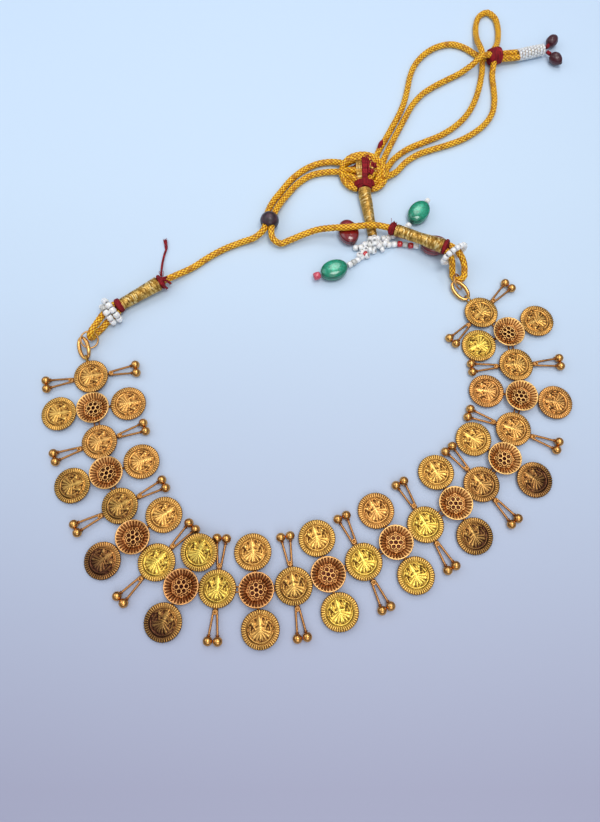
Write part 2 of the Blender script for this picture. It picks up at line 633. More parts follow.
def coin_mesh():
    """Verts, faces and shades of the field and the rim, the back on z = 0 and the figure's head towards +Y."""
    r = (np.arange(FIELD_RINGS) / (FIELD_RINGS - 1))[:, None] * 0.995
    a = circle(FIELD_TURNS)[None, :]
    x, y = r * np.cos(a), r * np.sin(a)
    h = relief(x, y)
    z = COIN_T - FIELD_DEPTH + RELIEF_H * h + FIELD_RISE * r
    verts = np.stack([x * FIELD_R * 1.01, y * FIELD_R * 1.01, z + 0 * x], -1).reshape(-1, 3)
    shade = np.maximum(np.clip(-0.06 + 1.14 * h, 0.03, 1), np.clip((r - 0.88) * 7, 0, 0.62)).reshape(-1)
    field = (verts, [grid_faces(FIELD_RINGS, FIELD_TURNS)], shade)
    turns = FLUTES * 4
    a = circle(turns)
    c = np.abs(np.sin(a * FLUTES / 2)) ** 0.6
    rows, shades = [], []
    for rad, low, extra, s0, s1 in COIN_PROFILE:
        rr = rad - (EDGE_CUT * (1 - c) if rad > CUT_FROM else 0.0)
        rows.append(polar(rr, a, low + extra * c))
        shades.append(s0 + (s1 - s0) * c)
    rows.append(np.zeros((turns, 3)))
    shades.append(np.full(turns, 0.3))
    return field, (np.concatenate(rows), [grid_faces(len(rows), turns)], np.concatenate(shades))


COIN = coin_mesh()


def add_coin(shape, move, k, place):
    dark, side = TARNISH.get((k, place), (0.0, 0))
    for verts, faces, shade in COIN:
        across = (verts @ move[:3, :3].T) @ direction(side) / COIN_R
        tarnish = dark * (1.36 - 0.72 * shade) * np.clip(0.75 + 0.6 * across, 0.1, 1.1)
        rim = np.clip(np.hypot(verts[:, 0], verts[:, 1]) - 4.0, 0, 1.5)
        tarnish *= 1.2 - 0.3 * rim
        tone = tone_of(k, place) + (0.2 * rim if (k, place) in LEMON else 0)
        shape.add(verts, faces, shade=shade, tone=tone, fleck=np.clip(tarnish, 0, 0.93), move=move)


def torus(shape, r, wire, move, turns, sides, shade=0.75, tone=0.3, mat=0):
    a = circle(turns)
    path = transform(polar(r, a, 0), move)
    tube(shape, path, wire / 2, sides, True, shade=shade, tone=tone, mat=mat, up=tuple(move[:3, 2]))


# Wires under the row, in the frame of a unit turned to its neighbour: the eye of a coin unit and that of a cup
EYE_WIRE_R, EYE_UP = 0.22, (0.2, 0.9, 0.1)
COIN_EYE = [(5.5, 0, 1.5), (5.5, 0, 0.5), (5.3, 0, 0.26), (4.2, 0, 0.26), (4.0, 0, 0.5), (4.0, 0, 1.5)]
CUP_EYE = [(4.75, 0, 2.45), (4.75, 0, 0.5), (4.55, 0, 0.26), (3.4, 0, 0.26), (3.05, 0, 0.26)]
END_EYE_AT, END_EYE_R, END_EYE_WIRE = (6.9, 0, 1.65), 1.35, 0.56
# Pins: where the stem starts and where its ball is, the ball's and the stem's radius
PIN_ROOT, PIN_END, BALL_R, PIN_R = (0.5, 6.1, 1.3), (1.52, 15.5, 1.5), 1.5, 0.38
PIN_LOOP_AT, PIN_LOOP_R, PIN_LOOP_WIRE_R = (0, 6.95, 1.72), 0.62, 0.24
SOLDER_AT, SOLDER_SIZE = (0, 6.75, 1.3), (0.85, 0.8, 0.62)
COIN_BAR, COIN_BAR_R = [(0, 4.7, 1.22), (0, 5.6, 1.22), (0, 6.5, 1.25)], 0.5
CUP_BAR, CUP_BAR_R = [(0, 3.0, 1.2), (0, 5.0, 1.2), (0, 7.0, 1.2)], 0.42


def add_eyes(shape, k, move, facing, legs):
    """A wire under the row towards each neighbour of unit k."""
    headings = [heading_to_next(k - 1) + 180] if k > 0 else []
    headings += [heading_to_next(k)] if k < LAST else []
    for h in headings:
        tube(shape, transform(legs, move @ turn_z(h - facing + 90)), EYE_WIRE_R, 8, up=EYE_UP)


def add_pin(shape, sign, side, tone):
    """A pin on one side of a coin: stem, collar and ball."""
    root, end = (vec(sign * x, y, z) for x, y, z in (PIN_ROOT, PIN_END))
    d = unit(end - root)
    path = np.array([root, root + 2.2 * d + (0, 0, 0.04), end - 2.4 * d, end - 1.2 * d])
    tube(shape, transform(curve(path, 0.7), side), PIN_R, 14, shade=0.42, tone=0.35 + 0.3 * tone, mat=2)
    ball(shape, transform([end], side)[0], (BALL_R,) * 3, 28, 18, shade=0.5, tone=0.5 + 0.4 * tone, mat=1)
    collar = curve(np.array([end - 1.95 * d, end - 1.72 * d, end - 1.45 * d]), 0.12)
    rad = 0.42 + 0.26 * np.sin(np.linspace(0, pi, len(collar)))
    tube(shape, transform(collar, side), rad, 14, shade=0.35, tone=0.7, mat=2)


def coin_unit(k):
    _, _, facing, droop, _ = LINES[k]
    move = at(PLACES[k], facing - 90)
    s = Shape()
    add_coin(s, move @ shift(0, 0, COIN_LIFT + COIN_T / 2) @ turn_x(droop) @ shift(0, 0, -COIN_T / 2), k, OWN)
    for half in (0, 1):
        side = move @ turn_z(180 * half)
        tone = 0.3 + 0.4 * float(hashed(k, half, 5.0))
        for sign in (-1, 1):
            add_pin(s, sign, side, tone)
        a = circle(20)
        x, y, z = PIN_LOOP_AT
        loop = np.stack([x + PIN_LOOP_R * np.cos(a), y + PIN_LOOP_R * np.sin(a), z + 0 * a], 1)
        tube(s, transform(loop, side), PIN_LOOP_WIRE_R, 8, True, shade=0.6, tone=0.4, mat=2)
        ball(s, SOLDER_AT, SOLDER_SIZE, 18, 10, move=side, shade=0.45)
        tube(s, transform(curve(COIN_BAR, 0.4), side), COIN_BAR_R, 12, shade=0.35, tone=0.6)
    add_eyes(s, k, move, facing, COIN_EYE)
    if k in END_HEADINGS:
        eye = move @ turn_z(END_HEADINGS[k] - facing + 90) @ shift(*END_EYE_AT) @ turn_x(90)
        torus(s, END_EYE_R, END_EYE_WIRE, eye, 40, 10)
    s.make(f"coin_and_pins_{k // 2 + 1:02d}", [GOLD, POLISHED, WIRE], "gold", f"coin_pin_{k // 2 + 1:02d}")


# The cup's outline: radius and height of its back, its lip, where its ribs start and end, and its floor with shades
CUP_BACK = ((0, 0), (3.15, 0), (3.2, 0.06), (3.2, 0.9), (3.35, 1.1), (4.0, 1.66), (4.6, 2.2), (5.0, 2.55))
LIP_AT, LIP_R = (5.3, 2.95), 0.25
RIB_OUT, RIB_IN, RIB_H = (5.02, 2.86), (3.3, 1.78), 0.44
CUP_FLOOR = ((3.1, 1.74, 0.2), (2.9, 1.72, 0.1), (2.75, 1.7, 0.05), (1.8, 1.66, 0.02), (0.9, 1.66, 0.0),
             (0, 1.66, 0.0))


def cup_mesh():
    """Verts, faces and shades of the dished flower cup."""
    turns = RIBS * 4
    a = circle(turns)
    c = np.abs(np.sin(a * RIBS / 2)) ** 1.2
    which = np.floor(a * RIBS / (2 * pi))
    reach = 0.7 + 0.4 * hashed(which, 1.0, 4.0)
    rows, shades = [], []

    def ring(r, z, shade, lift=0.0):
        rows.append(polar(r, a, z + lift * c))
        shades.append(np.broadcast_to(shade, (turns,)))

    for r, z in CUP_BACK:
        ring(r, z, 0.3)
    for w in np.radians(np.linspace(-125, 160, 12)):
        lip_r, lip_z = LIP_AT[0] + LIP_R * cos(w), LIP_AT[1] + LIP_R * sin(w)
        ring(lip_r, lip_z, 0.5 + 0.42 * max(0, sin(w)))
    for f in np.linspace(0.02, 1, 9):
        r = RIB_OUT[0] + (RIB_IN[0] - RIB_OUT[0]) * f
        z = RIB_OUT[1] + (RIB_IN[1] - RIB_OUT[1]) * f ** 0.9
        env = sin(pi * min(1, 0.12 + f * 0.86)) ** 0.4
        bright = (0.62 + 0.42 * reach) * env * c ** 2.8
        ring(r, z, 0.02 + bright * np.clip(1.9 - 1.2 * f / reach, 0.5, 1), RIB_H * env)
    for r, z, shade in CUP_FLOOR:
        ring(r, z, shade)
    return np.concatenate(rows), [grid_faces(len(rows), turns)], np.concatenate(shades)


CUP = cup_mesh()


# Wires of the flower in the cup: radius, thickness, place, points round the ring and round the wire
PETAL = (0.76, 0.3, (1.56, 0, 2.2), 22, 7)
LEAF = (0.46, 0.26, (2.82, 0, 2.0), 18, 7)
HEART = (0.76, 0.3, (0, 0, 2.25), 22, 7)
SEED_AT, SEED_SIZE = (2.85, 0, 1.8), (0.5, 0.16, 0.2)
# From the cup's middle to the coin's rim, and the unit where the cups are most worn with how far the wear reaches
COIN_START, MOST_WORN, WEAR_REACH = CUP_R + 0.2, 8, 5.0


def add_wire(shape, wire, move, shade, worn):
    r, thick, place, turns, sides = wire
    torus(shape, r, thick, move @ shift(*place), turns, sides, shade=shade, tone=0.6 * worn, mat=1)


def flower(k):
    _, _, facing, droop, inner_droop = LINES[k]
    move = at(PLACES[k], facing - 90)
    s = Shape()
    worn = 0.12 + 0.7 * exp(-((k - MOST_WORN) / WEAR_REACH) ** 2)
    s.add(CUP[0], CUP[1], shade=np.clip(CUP[2] * (1.6 - 0.6 * worn), 0, 1), tone=worn, move=move, mat=1)
    for i in range(6):
        spin = move @ turn_z(60 * i + 90)
        add_wire(s, PETAL, spin, 1 - 0.2 * worn, worn)
        add_wire(s, LEAF, spin @ turn_z(30), 0.95 - 0.25 * worn, worn)
        ball(s, SEED_AT, SEED_SIZE, 12, 8, move=spin, shade=0.8, tone=0.2, mat=1)
    add_wire(s, HEART, move, 1 - 0.2 * worn, worn)
    start, coin = shift(0, COIN_START, COIN_LIFT), shift(0, COIN_R, 0)
    add_coin(s, move @ start @ turn_x(-inner_droop) @ coin, k, INNER)
    add_coin(s, move @ turn_z(180) @ start @ turn_x(-droop) @ coin @ turn_z(180), k, OUTER)
    for half in (0, 180):
        tube(s, transform(curve(CUP_BAR, 0.5), move @ turn_z(half)), CUP_BAR_R, 12, shade=0.3, tone=0.6)
    add_eyes(s, k, move, facing, CUP_EYE)
    s.make(f"flower_cup_{(k + 1) // 2:02d}", [GOLD, ANTIQUE], "antique_gold", f"flower_unit_{(k + 1) // 2:02d}")


for k in range(LAST + 1):
    if k % 2 == 0:
        coin_unit(k)
    else:
        flower(k)

# Link rings under the row: how much shorter one is than the step between units, its half width, wire and height,
# and where it starts from the middle of a coin unit and of a cup
LINK_SHORTER, LINK_HALF, LINK_WIRE_R, LINK_Z = 8.75, 0.8, 0.25, 0.89
LINK_FROM_COIN, LINK_FROM_CUP = 4.75, 4.0
links = Shape()
half = np.radians(np.linspace(-90, 90, 9))
out, up = LINK_HALF * np.cos(half), LINK_HALF * np.sin(half)
for k in range(LAST):
    reach = float(np.linalg.norm(PLACES[k + 1] - PLACES[k])) - LINK_SHORTER
    start = LINK_FROM_COIN if k % 2 == 0 else LINK_FROM_CUP
    right = np.stack([reach - LINK_HALF + out, up, 0 * half], 1)
    left = np.stack([LINK_HALF - out, -up, 0 * half], 1)
    move = shift(*PLACES[k], LINK_Z) @ turn_z(heading_to_next(k)) @ shift(start, 0, 0)
    tube(links, transform(np.concatenate([right, left]), move), LINK_WIRE_R, 10, True, shade=0.45, tone=0.7)
links.make("row_link_rings", [WIRE], "gold", "link_rings")


# End hooks and rings
def at_end(k):
    return at(PLACES[k], END_HEADINGS[k])


HOOK_PITCH, HOOK_ROLL = radians(8), radians(-25.4)
# Middle of the hook from the unit, its half length and half width, its wire's radius and how much thicker it gets
HOOK_AT, HOOK_LONG, HOOK_WIDE, HOOK_THIN_R, HOOK_MORE = (11, 0, 2.22), 3.9, 1.9, 0.44, 0.28
RING_R, RING_WIRE = 2.9, 0.6
hook_dir = vec(cos(HOOK_PITCH), 0, sin(HOOK_PITCH))
hook_up = vec(-sin(HOOK_PITCH), 0, cos(HOOK_PITCH))
hook_side = cos(HOOK_ROLL) * vec(0, 1, 0) + sin(HOOK_ROLL) * hook_up
w = circle(64)
hook = np.array(HOOK_AT) + HOOK_LONG * np.cos(w)[:, None] * hook_dir + HOOK_WIDE * np.sin(w)[:, None] * hook_side
# Side, unit, place of the ring from the unit, how far it leans and where to
for side, k, place, lean, heading in (
        ("left", 0, (13.3, -2.6, 2.7), 27, 207.5), ("right", LAST, (14, -1.6, 2.65), 49, 232)):
    s = Shape()
    tube(s, transform(hook, at_end(k)), HOOK_THIN_R + HOOK_MORE * np.abs(np.sin(w)), 20, True, shade=0.58, tone=0.6)
    s.make(f"hook_{side}", [POLISHED], "gold", f"end_hook_{side}")
    s = Shape()
    move = at_end(k) @ at(place, heading) @ turn_y(lean)
    torus(s, RING_R, RING_WIRE, move, 64, 12, shade=0.6, tone=0.25)
    s.make(f"ring_{side}", [WIRE], "gold", f"end_ring_{side}")


# End loops: the doubled cord through each end ring
def fold(middle, heading, roll, r, end):
    """Points of the half turn of cord round the end ring."""
    way, lean = direction(heading), radians(roll)
    across = vec(-way[1], way[0], 0)
    out = cos(lean) * across + sin(lean) * vec(0, 0, 1.0)
    w = np.radians(np.arange(7) * 30)
    return transform(np.array(middle) - r * np.sin(w)[:, None] * way - r * np.cos(w)[:, None] * out, end)


LEFT_LOW = [(-73.6, 91.6, 2), (-75.2, 90, 1.5), (-77.6, 87.4, 1.3), (-79.6, 84.6, 1.3)]
LEFT_HIGH = [(-80.2, 85.2, 4.8), (-78.9, 88.6, 3.9), (-77, 91.9, 2.9), (-75, 93.9, 2.9)]
RIGHT_RIGHT = [(44.7, 115.1, 7.7), (47.2, 113.8, 7.2), (49.6, 111.5, 5.8), (50.8, 108.7, 4.2)]
RIGHT_LEFT = [(46.6, 107.8, 3.2), (46.1, 109.9, 5.5), (45, 111.7, 7), (43.5, 112.8, 7.7)]
for side, low, middle, high in (
        ("left", LEFT_LOW, fold((15.2, -4.5, 3.135), -45, 90, 1.835, at_end(0)), LEFT_HIGH),
        ("right", RIGHT_RIGHT, fold((16.1, -4, 2.3), -30, -20.6, 2.1, at_end(LAST)), RIGHT_LEFT)):
    s = Shape()
    braided(s, np.concatenate([low, middle, high]), radius=LOOP_BRAID_R)
    s.make(f"cord_loop_{side}", [CORD], "cord", f"end_loop_{side}")


# Windings
def line_path(a, b, step):
    a, b = np.array(a, float), np.array(b, float)
    n = max(4, int(np.linalg.norm(b - a) / step))
    return a + np.linspace(0, 1, n + 1)[:, None] * (b - a)


def barrel(shape, a, b, radii, pitch, lift, sides=32, edge=0.3, rough=0.5, mat=0):
    """Wound thread from a to b, with its radius at the start, the middle and the end."""
    r0, r1, r2 = radii
    path = line_path(a, b, pitch / 5)
    total = length_of(path)
    f = shares(path)
    r = np.where(f < 0.5, r0 + (r1 - r0) * f * 2, r1 + (r2 - r1) * (f * 2 - 1))
    end = np.minimum(f, 1 - f) * total
    r = r - edge * (1 - np.clip(end / edge, 0, 1)) ** 2
    tube(shape, path, r, sides, pattern=wound(pitch, lift, 1, rough), mat=mat)


def before(a, b, distance):
    return a - distance * unit(b - a)


def wisp(shape, points, radius):
    """A loose thread end."""
    tube(shape, curve(points, 0.3), radius, 6, shade=0.6)


def twist(shape, points, radius, sides, pitch, lift, starts=2, rough=0.5, mat=0, step=0.25):
    """A round thread of twisted strands along the points, and the path that it takes."""
    path = curve(points, step)
    tube(shape, path, radius, sides, pattern=wound(pitch, lift, starts, rough), mat=mat)
    return path


# Pitch and lift of fine and thick winding
FINE, THICK = (0.42, 0.14), (0.5, 0.18)
# Both ends of each sleeve, and the band round the left one: its share of the way and half length
left_0, left_1 = np.array([(-73, 93.6, 2.6), (-59.8, 101.9, 3.5)])
right_0, right_1 = np.array([(26.6, 123.3, 4.8), (43, 114.6, 7.6)])
axis = unit(left_1 - left_0)
axis_r = unit(right_1 - right_0)
BAND_AT, BAND_HALF = 0.38, 0.35
s = Shape()
barrel(s, left_0, left_1, (2.05, 2.25, 2.6), *FINE, 40, rough=0.9)
mid = left_0 * (1 - BAND_AT) + left_1 * BAND_AT
barrel(s, mid - axis * BAND_HALF, mid + axis * BAND_HALF, (2.25, 2.32, 2.28), 0.7, 0.06, 40, edge=0.15, rough=1.0)
s.make("zari_winding_left", [ZARI], "zari", "zari_sleeve_left")
s = Shape()
barrel(s, right_0, right_1, (2.2, 1.98, 2.6), *FINE, 40, rough=0.9)
s.make("zari_winding_right", [ZARI], "zari", "zari_sleeve_right")

# Threads at the left sleeve: a band, a knot, a long loose end that frays and three stubs
BAND_LIFT, BAND_LONG = 0.3, 1.9
LOOSE_END = [(-59.2, 105.4, 3), (-59.6, 108.4, 1.6), (-59.7, 112, 0.6), (-59.2, 115.6, 0.6), (-58.6, 118.6, 0.6),
             (-59.4, 121.6, 0.6)]
# Where each stub ends, from the sleeve's end, and its radius
STUBS = ((3.6, -0.6, 0.6, 0.42), (3.1, 1.9, 0.5, 0.36), (2.2, -2.0, -0.4, 0.4))
s = Shape()
band = before(left_0, left_1, 1.45) + vec(0, 0, BAND_LIFT)
barrel(s, band, band + axis * BAND_LONG, (2.45, 2.62, 2.45), *FINE, rough=0.4)
knot_from = before(left_1, left_0, 0.15)
barrel(s, knot_from, before(knot_from, left_0, 1.6), (2.5, 2.75, 2.4), *THICK, edge=0.5)
thread = curve(LOOSE_END, 0.25)
radius = np.interp(shares(thread), (0, 0.75, 1), (0.42, 0.38, 0.5))
tube(s, thread, radius, 10, pattern=wound(0.8, 0.08, 2))
for i in range(7):
    a = thread[-8 - 2 * i]
    end = thread[-1] + vec(0.7 * sin(i * 2.1), 0.5 + 0.35 * cos(i * 1.7), 0.12 * i - 0.3)
    wisp(s, [a, (a + end) / 2 + (0.25 * sin(i * 5), 0, 0.1), end], 0.1)
for i in range(5):
    a = knot_from + vec(0.4, 1.6, 0.6) + 0.3 * i * axis
    end = a + vec(-0.6 + 0.5 * sin(i * 2.0), 1.9 + 0.4 * cos(i * 3.1), 0.3 * sin(i))
    wisp(s, [a, (a + end) / 2 + (0.3, 0, 0.4), end], 0.11)
for i, (dx, dy, dz, size) in enumerate(STUBS):
    mid = left_1 + vec(0.5 * dx + 0.6, 0.5 * dy + 0.9 * cos(i), 1.4)
    end = left_1 + vec(dx + 0.6, dy + 0.8, dz - 1.2)
    path = twist(s, [left_1 + (0.6, 0.4, 2.2), mid, end], size, 10, 0.8, 0.1, step=0.2)
    for j in range(3):
        out = end + vec(0.5 * sin(j * 2.0 + i), 0.6 * cos(j * 1.6 + i), -0.1 * j)
        wisp(s, [path[-3], (end + out) / 2, out], 0.12)
s.make("thread_wraps_left", [RED_THREAD], "red_thread", "threads_left")

s = Shape()
knot_from = before(right_0, right_1, 2.65)
barrel(s, knot_from, knot_from + axis_r * 2.5, (2.1, 2.45, 2.2), 0.5, 0.2, edge=0.7)
for i in range(9):
    a = knot_from + axis_r * (0.5 + 0.2 * i)
    up = unit((0.3 * sin(i * 2.3), 0.8 * cos(i * 1.9), 1.0))
    tip = a + up * 3.3 + (0.5 * sin(i), 0.5 * cos(i * 1.3), 0)
    wisp(s, [a + up * 2.2, a + up * 2.9 + (0.15, 0.1, 0), tip], 0.09)
band = before(right_1, right_0, 0.15)
barrel(s, band, before(band, right_0, 1.3), (2.7, 2.85, 2.6), *FINE, rough=0.4)
s.make("thread_wraps_right", [RED_THREAD], "red_thread", "threads_right")

s = Shape()
barrel(s, (68.6, 206.7, 3.4), (74, 208.1, 3.4), (2.8, 3.3, 3.0), 0.55, 0.2, 36, edge=0.6)
s.make("top_thread_wrap", [RED_THREAD], "red_thread", "top_wrap")

# Seed beads
BEAD_HOLE_R, BEAD_ROWS = 0.22, 9


def bead_profile(length, r):
    """Places along the bore and radii of a bead's outline, from one edge of the hole to the other."""
    w = np.linspace(0, 1, BEAD_ROWS)
    x = length / 2 * -np.cos(w * pi)
    rad = r * np.sin(w * pi) ** 0.3
    x = np.concatenate([[x[0] + 0.12], x, [x[-1] - 0.12]])
    rad = np.concatenate([[BEAD_HOLE_R], np.maximum(rad, BEAD_HOLE_R + 0.05), [BEAD_HOLE_R]])
    return x, rad


def seed_bead(shape, centre, way, length, r, tone, mat=0, sides=18, shade=0.75):
    x, rad = bead_profile(length, r)
    d = unit(way)
    t = unit(np.cross(d, (0.13, 0.21, 0.97)))
    b = np.cross(d, t)
    a = circle(sides)
    ring = x[:, None, None] * d + rad[:, None, None] * (np.cos(a)[None, :, None] * t + np.sin(a)[None, :, None] * b)
    value = np.repeat(np.interp(rad, (BEAD_HOLE_R, r), (0.1, shade)), sides)
    verts = ring.reshape(-1, 3) + np.asarray(centre, float)
    shape.add(verts, [grid_faces(len(x), sides)], shade=value, tone=tone, mat=mat)


def string_of_beads(shape, points, pitch, colours, r, closed=False):
    path = curve(points, 0.1, closed)
    if closed:
        path = np.concatenate([path, path[:1]])
    total = length_of(path)
    count = max(1, int(round(total / pitch)))
    rng = np.random.default_rng(int(total * 100))
    for i in range(count):
        j = (i + 0.5) / count * (len(path) - 1)
        i0 = int(j)
        c = path[i0] + (path[min(i0 + 1, len(path) - 1)] - path[i0]) * (j - i0)
        d = unit(path[min(i0 + 6, len(path) - 1)] - path[max(i0 - 6, 0)]) + rng.normal(0, 0.07, 3)
        size = r * rng.uniform(0.93, 1.0)
        seed_bead(shape, c, d, total / count, size, rng.uniform(0.1, 0.9), colours[i % len(colours)])


BEADS = [WHITE, RED_BEAD, CLEAR]
W, R, C = range(3)
# Each string: its points, the pitch of its beads, their colours by turns
ARCHES = (
    ([(-78.7, 94.6, 1.35), (-78.6, 94.5, 3.6), (-77.2, 92.9, 5.9), (-75.3, 90.7, 5.4), (-73.6, 88.8, 3.9),
      (-72.9, 88.0, 1.35)], 2.1, [W], 1.25),
    ([(-79.6, 92.4, 1.35), (-79.2, 92.0, 3.6), (-78.4, 91, 5.5), (-77, 89.2, 5.2), (-75.6, 87.4, 3.4),
      (-75, 86.8, 1.35)], 2.0, [W, W, C, W, W], 1.2))
BEAD_RING_AT, BEAD_RING_SIZE, BEAD_RING_TURN = (46.8, 112.1, 6.6), (4.9, 3.6), radians(55)
STRINGS = (
    ([(15.8, 120, 1.25), (13.6, 118.1, 1.25), (10.9, 118, 1.3)], 1.9, [W]),
    ([(17.3, 117.2, 1.25), (15.2, 115.2, 1.25), (12.4, 112.8, 1.25), (8.7, 110.1, 1.8)], 1.9,
     [W, R, W, W, C, W, W, W]),
    ([(21.2, 119.2, 1.25), (24.6, 119.3, 1.25), (28.6, 119.6, 1.25), (32, 119, 1.25), (35.4, 118.5, 1.6)], 1.95,
     [W, W, W, R, C, R, W, W, W]),
    ([(21.5, 121.7, 1.25), (24.8, 122.6, 1.25), (28.8, 124.6, 1.25), (32.6, 127.95, 1.8)], 1.95,
     [W, W, W, R, W, W, W, W, W]))
# The beads of the cluster, from its middle, and the ones round it, from the origin
CLUSTER_AT = (18.6, 119.9, 2.4)
CLUSTER = (
    (0, 0, 1.2), (-1.3, 0.6, 0.6), (1.2, 0.8, 0.5), (0.2, -1.4, 0.5), (-1.2, -1.0, -0.3), (1.5, -0.9, -0.2),
    (0.1, 1.5, 0.1), (-1.8, 0.0, -1.0), (1.9, 0.3, -1.0), (0.0, -1.9, -1.0), (-0.9, 1.6, -1.1), (1.0, 1.7, -1.1))
ROUND_CLUSTER = (
    (15.6, 117.4, 1.3), (14.0, 115.9, 1.3), (16.0, 114.6, 1.2), (18.6, 116.6, 1.3), (21.6, 117.3, 1.3),
    (23.4, 121.0, 1.4), (17.0, 116.2, 2.6), (20.4, 118.0, 2.7), (22.6, 119.0, 2.7), (13.0, 114.2, 2.4))
s = Shape()
for points, pitch, colours, r in ARCHES:
    string_of_beads(s, points, pitch, colours, r)
s.make("seed_bead_arch_left", BEADS, "white_bead", "seed_beads_left")
s = Shape()
across = vec(sin(BEAD_RING_TURN), cos(BEAD_RING_TURN), 0)
w = np.radians(np.arange(12) * 30)
points = np.array(BEAD_RING_AT) + BEAD_RING_SIZE[0] * np.cos(w)[:, None] * across
points = points + BEAD_RING_SIZE[1] * np.sin(w)[:, None] * vec(0, 0, 1.0)
string_of_beads(s, points, 1.8, [W], 1.12, True)
s.make("seed_bead_ring_right", BEADS, "white_bead", "seed_beads_right")
s = Shape()
for points, pitch, colours in STRINGS:
    string_of_beads(s, points, pitch, colours, 1.2)
s.make("seed_bead_strings", BEADS, "white_bead", "bead_strings")
s = Shape()
rng = np.random.default_rng(7)
for place in CLUSTER:
    seed_bead(s, np.array(CLUSTER_AT) + place, rng.normal(0, 1, 3), 1.65, 1.2, rng.uniform(0.1, 0.9))
for place in ROUND_CLUSTER:
    seed_bead(s, place, rng.normal(0, 1, 3), 1.6, 1.15, rng.uniform(0.1, 0.9))
s.make("seed_bead_cluster", BEADS, "white_bead", "bead_cluster")

# Stones: half sizes, and how far the girdle's line is from the middle
STONE_LONG, STONE_WIDE, STONE_HIGH, GIRDLE = 5.15, 3.8, 2.38, 0.3
GREEN_A, GREEN_B = ((3.6, 107.9, 2.4), 201), ((35.9, 132.5, 2.4), 55)
RED_A, RED_B = ((9.2, 123.8, 2.4), 105), ((40.9, 118.2, 2.4), 0)


def oval_stone(shape, centre, heading):
    """A pressed oval: domed faces, a fine line round the girdle and drilled ends."""
    rings, turns = 22, 56
    w = (np.arange(2 * rings + 1) / (2 * rings) * pi)[:, None]
    a = circle(turns)[None, :]
    rad = np.sin(w) ** 0.8
    z = np.sign(np.cos(w)) * np.abs(np.cos(w)) ** 0.62
    rad = rad - 0.035 * np.exp(-((np.abs(z) - GIRDLE) / 0.07) ** 2)
    x = rad * np.cos(a)
    y = rad * np.sin(a)
    end = np.exp(-((1 - np.abs(x)) / 0.05) ** 2) * np.exp(-(y / 0.2) ** 2) * np.exp(-(z / 0.3) ** 2)
    verts = np.stack([(x - 0.06 * np.sign(x) * end) * STONE_LONG, y * STONE_WIDE, (z + 0 * x) * STONE_HIGH], -1)
    cloud = 0.5 + 0.5 * np.sin(x * 3.1 + 1.3 * np.sin(y * 4)) * np.cos(y * 2.6 - 0.7)
    shade = 0.3 + 0.35 * (1 - rad) + 0.4 * np.clip(0.8 - np.hypot(x, y * 0.9), 0, 1) * cloud + 0.12 * (y < -0.75)
    shade = shade - 0.3 * np.exp(-((np.abs(z) - GIRDLE) / 0.08) ** 2) - 0.4 * end
    shade = shade + 0.25 * np.exp(-((z - 0.05) / 0.12) ** 2)
    shape.add(verts, [grid_faces(2 * rings + 1, turns)[:, ::-1]], shade=np.clip(shade, 0, 1).reshape(-1),
              move=at(centre, heading))


for name, node, stone, colour, slot in (
        ("oval_green_a", "green_stone_a", GREEN_A, GREEN, "green_stone"),
        ("oval_green_b", "green_stone_b", GREEN_B, GREEN, "green_stone"),
        ("oval_red_a", "red_stone_a", RED_A, RED_STONE, "red_stone"),
        ("oval_red_b", "red_stone_b", RED_B, RED_STONE, "red_stone")):
    s = Shape()
    oval_stone(s, *stone)
    s.make(name, [colour], slot, node)


def tip_bead(shape, stone, d, length, r, *look):
    """A bead at the far end of a stone."""
    centre, heading = stone
    way = direction(heading)
    seed_bead(shape, np.array(centre) + (STONE_LONG + d / 2 + 0.12) * way, way, length, r, 0.5, *look)


s = Shape()
tip_bead(s, GREEN_A, 2.9, 2.7, 1.45, 1, 26, 0.7)
tip_bead(s, GREEN_B, 2.1, 1.9, 1.05, 0, 20, 0.8)
s.make("tip_bead_pair", [WHITE, PINK], "pink_bead", "tip_beads")

# Slider bead: its two bores are at BORE_SIDE to either side of its middle
SLIDER_AT, SLIDER_HEADING, SLIDER_R = (-20.2, 128.2, 3.5), 80, 3.5
BORE_SIDE, BORE_R, BORE_ROUND, BORE_DIP, BORE_FROM = 1.3, 1.9, 0.6, 0.55, 1.5


def bored(p):
    q = p * SLIDER_R
    for c in (-BORE_SIDE, BORE_SIDE):
        d = np.hypot(q[:, 1] - c, q[:, 2])
        dip = np.clip((BORE_R - d) / BORE_ROUND, 0, 1) * (np.abs(q[:, 0]) > BORE_FROM)
        q[:, 0] -= np.sign(q[:, 0]) * BORE_DIP * dip ** 2
    return q / SLIDER_R


s = Shape()
move = at(SLIDER_AT, SLIDER_HEADING)
shade = np.repeat(0.45 + 0.3 * np.sin(np.arange(41) / 40 * pi * 9), 64)
ball(s, (0, 0, 0), (SLIDER_R,) * 3, 64, 40, move=move, bend=bored, shade=shade)
s.make("wooden_slider", [WOOD], "wood_bead", "slider_bead")

